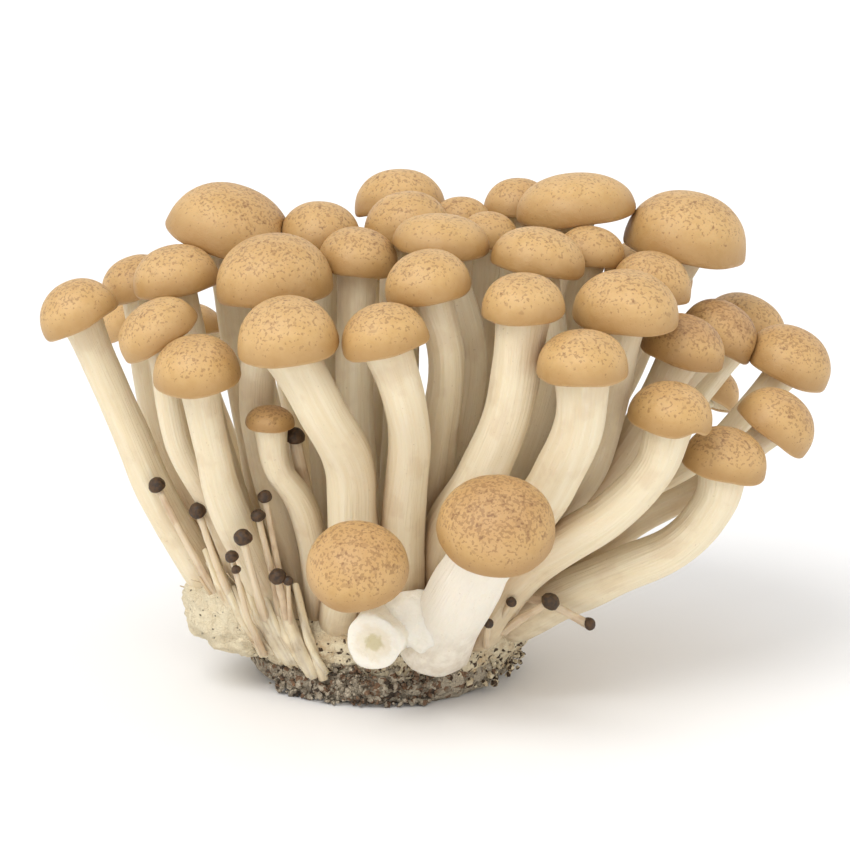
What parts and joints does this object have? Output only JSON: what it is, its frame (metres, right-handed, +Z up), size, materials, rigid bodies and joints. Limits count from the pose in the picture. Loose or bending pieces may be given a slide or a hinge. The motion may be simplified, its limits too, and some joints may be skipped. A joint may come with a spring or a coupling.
{
  "type": "beech mushroom cluster",
  "caption": "Natural cluster of brown beech mushrooms with round speckled caps and pale stems that fan out from one root mass on a thin plate of substrate.",
  "frame": {"origin": "centre of the substrate plate's flat underside", "axes": "+Z up, -Y towards the side with the two low front mushrooms, +X towards the long right-hand lean of the cluster, which is its widest direction"},
  "size_m": [0.1329, 0.1087, 0.0849],
  "materials": {
    "mushroom": "satin, speckled tan cap on a cream stem",
    "pin": "satin, dark brown head on a cream stem",
    "cut_stub": "matte, pale cut flesh",
    "root_mass": "matte, felted mycelium",
    "substrate": "matte, crumbly"
  },
  "bodies": {
    "root": {"back_lower_mushroom_1": "mushroom", "back_lower_mushroom_2": "mushroom", "back_lower_mushroom_3": "mushroom", "back_lower_mushroom_4": "mushroom", "back_lower_mushroom_5": "mushroom", "back_lower_mushroom_6": "mushroom", "back_lower_mushroom_7": "mushroom", "back_upper_mushroom_1": "mushroom", "back_upper_mushroom_2": "mushroom", "back_upper_mushroom_3": "mushroom", "back_upper_mushroom_4": "mushroom", "back_upper_mushroom_5": "mushroom", "back_upper_mushroom_6": "mushroom", "back_upper_mushroom_7": "mushroom", "crown_mushroom_1": "mushroom", "crown_mushroom_10": "mushroom", "crown_mushroom_2": "mushroom", "crown_mushroom_3": "mushroom", "crown_mushroom_4": "mushroom", "crown_mushroom_5": "mushroom", "crown_mushroom_6": "mushroom", "crown_mushroom_7": "mushroom", "crown_mushroom_8": "mushroom", "crown_mushroom_9": "mushroom", "cut_stub": "cut_stub", "front_mushroom_1": "mushroom", "front_mushroom_2": "mushroom", "front_mushroom_3": "mushroom", "front_mushroom_4": "mushroom", "front_mushroom_5": "mushroom", "front_mushroom_6": "mushroom", "front_mushroom_7": "mushroom", "low_front_mushroom_1": "mushroom", "low_front_mushroom_2": "mushroom", "pin_1": "pin", "pin_2": "pin", "pin_3": "pin", "pin_4": "pin", "pin_5": "pin", "root_mass": "root_mass", "second_mushroom_1": "mushroom", "second_mushroom_2": "mushroom", "second_mushroom_3": "mushroom", "second_mushroom_4": "mushroom", "second_mushroom_5": "mushroom", "second_mushroom_6": "mushroom", "second_mushroom_7": "mushroom", "second_mushroom_8": "mushroom", "substrate_plate": "substrate", "third_mushroom_1": "mushroom", "third_mushroom_2": "mushroom", "third_mushroom_3": "mushroom", "third_mushroom_4": "mushroom", "third_mushroom_5": "mushroom", "third_mushroom_6": "mushroom", "third_mushroom_7": "mushroom", "third_mushroom_8": "mushroom"}
  },
  "joints": []
}
